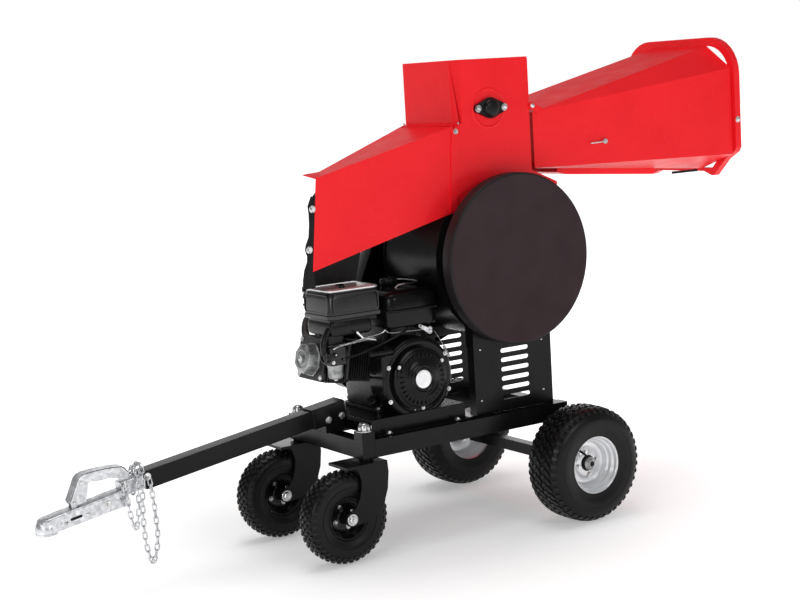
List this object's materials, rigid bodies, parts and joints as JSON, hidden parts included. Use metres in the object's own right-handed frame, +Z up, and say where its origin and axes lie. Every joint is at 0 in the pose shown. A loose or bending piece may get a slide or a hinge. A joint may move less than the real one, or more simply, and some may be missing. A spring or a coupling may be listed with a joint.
{
  "type": "wood chipper",
  "caption": "Towable petrol wood chipper with a folding infeed funnel, feed roller, knife drum, belt drive, side chute, casters, large rear wheels and a ball hitch.",
  "frame": {"origin": "on the ground at the middle of the bounding box", "axes": "+X towards the infeed funnel, -X towards the tow hitch, -Y towards the engine's starter side, +Z up"},
  "size_m": [2.7482, 0.91, 1.653],
  "materials": {
    "red_paint": "gloss",
    "black_paint": "satin",
    "cover_plum": "matte",
    "zinc": "satin",
    "steel": "satin",
    "alloy_grey": "satin",
    "engine_black": "satin",
    "exhaust_steel": "matte",
    "rubber": "matte",
    "tyre_rubber": "matte",
    "rim_white": "gloss",
    "rim_black": "satin",
    "plastic_black": "matte",
    "knife_steel": "polished"
  },
  "bodies": {
    "chassis": {"frame_rail_near": "black_paint", "frame_rail_far": "black_paint", "frame_front_beam": "black_paint", "frame_rear_beam": "black_paint", "engine_base_plate": "black_paint", "base_panel_near": "black_paint", "base_panel_far": "black_paint", "housing_side_near": "red_paint", "housing_side_far": "red_paint", "housing_band": "black_paint", "tower_cap": "red_paint", "chute_body": "red_paint", "chute_flap": "rubber", "funnel_hinge_pin": "steel", "feed_bearing_near": "black_paint", "feed_bearing_far": "black_paint", "bed_knife": "knife_steel", "rotor_bearing_near": "black_paint", "rotor_bearing_far": "black_paint", "drive_belt": "rubber", "belt_guard": "black_paint", "round_cover": "cover_plum", "engine_block": "engine_black", "fan_cowl": "engine_black", "recoil_cover": "engine_black", "valve_cover": "alloy_grey", "air_cleaner": "plastic_black", "muffler": "exhaust_steel", "fuel_tank": "engine_black", "carburettor": "engine_black", "tow_sleeve": "black_paint", "rear_axle": "black_paint", "tow_bar": "black_paint", "coupler_body": "zinc", "safety_chain": "zinc"},
    "drum": {"rotor": "steel", "rotor_knife_a": "knife_steel", "rotor_knife_b": "knife_steel", "rotor_pulley": "steel"},
    "engine_shaft": {"crankshaft": "steel", "engine_pulley": "steel"},
    "feed": {"feed_roller": "steel"},
    "funnel": {"infeed_funnel": "red_paint", "funnel_rim": "red_paint"},
    "latch_hook": {"funnel_latch_hook": "zinc"},
    "hitch_lever": {"coupler_lever": "zinc"},
    "throttle": {"throttle_lever": "zinc"},
    "choke": {"choke_lever": "plastic_black"},
    "cap": {"fuel_cap": "plastic_black"},
    "starter_grip": {"recoil_grip": "plastic_black"},
    "wheel_near": {"rear_tyre_near": "tyre_rubber", "rear_rim_near": "rim_white"},
    "wheel_far": {"rear_tyre_far": "tyre_rubber", "rear_rim_far": "rim_white"},
    "caster_near": {"caster_fork_near": "black_paint"},
    "caster_far": {"caster_fork_far": "black_paint"},
    "caster_wheel_near": {"caster_tyre_near": "tyre_rubber", "caster_rim_near": "rim_black"},
    "caster_wheel_far": {"caster_tyre_far": "tyre_rubber", "caster_rim_far": "rim_black"}
  },
  "joints": [
    {"name": "drum_spin", "type": "hinge", "parent": "chassis", "child": "drum", "pos_m": [0.33507, 0, 0.93], "axis": [0, 1, 0], "continuous": true},
    {"name": "engine_spin", "type": "hinge", "parent": "chassis", "child": "engine_shaft", "pos_m": [-0.06293, 0, 0.562], "axis": [0, 1, 0], "continuous": true},
    {"name": "feed_spin", "type": "hinge", "parent": "chassis", "child": "feed", "pos_m": [0.30857, 0, 1.449], "axis": [0, 1, 0], "continuous": true},
    {"name": "funnel_fold", "type": "hinge", "parent": "chassis", "child": "funnel", "pos_m": [0.49157, 0, 1.446], "axis": [0, -1, 0], "range_deg": [0, 70]},
    {"name": "hook_turn", "type": "hinge", "parent": "funnel", "child": "latch_hook", "pos_m": [0.78207, -0.213, 1.302], "axis": [0, 1, 0], "range_deg": [-60, 90]},
    {"name": "hitch_latch", "type": "hinge", "parent": "chassis", "child": "hitch_lever", "pos_m": [-1.24993, 0, 0.3285], "axis": [0, -1, 0], "range_deg": [0, 55]},
    {"name": "throttle_turn", "type": "hinge", "parent": "chassis", "child": "throttle", "pos_m": [0.00507, -0.1707, 0.712], "axis": [0, 1, 0], "range_deg": [-30, 30]},
    {"name": "choke_turn", "type": "hinge", "parent": "chassis", "child": "choke", "pos_m": [-0.36193, -0.154, 0.68], "axis": [0, 1, 0], "range_deg": [0, 60]},
    {"name": "fuel_cap_turn", "type": "hinge", "parent": "chassis", "child": "cap", "pos_m": [-0.01993, 0.03, 0.872], "axis": [0, 0, 1], "range_deg": [0, 90]},
    {"name": "starter_pull", "type": "slide", "parent": "chassis", "child": "starter_grip", "axis": [-0.3495, -0.799, 0.4894], "range_m": [0, 0.6], "stiffness_N_per_m": 12, "springref_m": -0.3},
    {"name": "wheel_spin_near", "type": "hinge", "parent": "chassis", "child": "wheel_near", "pos_m": [0.48507, -0.3725, 0.203], "axis": [0, 1, 0], "continuous": true},
    {"name": "wheel_spin_far", "type": "hinge", "parent": "chassis", "child": "wheel_far", "pos_m": [0.48507, 0.3725, 0.203], "axis": [0, 1, 0], "continuous": true},
    {"name": "caster_swivel_near", "type": "hinge", "parent": "chassis", "child": "caster_near", "pos_m": [-0.30993, -0.2175, 0.33], "axis": [0, 0, 1], "continuous": true},
    {"name": "caster_swivel_far", "type": "hinge", "parent": "chassis", "child": "caster_far", "pos_m": [-0.30993, 0.2175, 0.33], "axis": [0, 0, 1], "continuous": true},
    {"name": "caster_spin_near", "type": "hinge", "parent": "caster_near", "child": "caster_wheel_near", "pos_m": [-0.40953, -0.2175, 0.155], "axis": [0, 1, 0], "continuous": true},
    {"name": "caster_spin_far", "type": "hinge", "parent": "caster_far", "child": "caster_wheel_far", "pos_m": [-0.40953, 0.2175, 0.155], "axis": [0, 1, 0], "continuous": true}
  ],
  "couplings": [
    {"joint": "engine_spin", "follows": "drum_spin", "ratio": 2.6216}
  ]
}
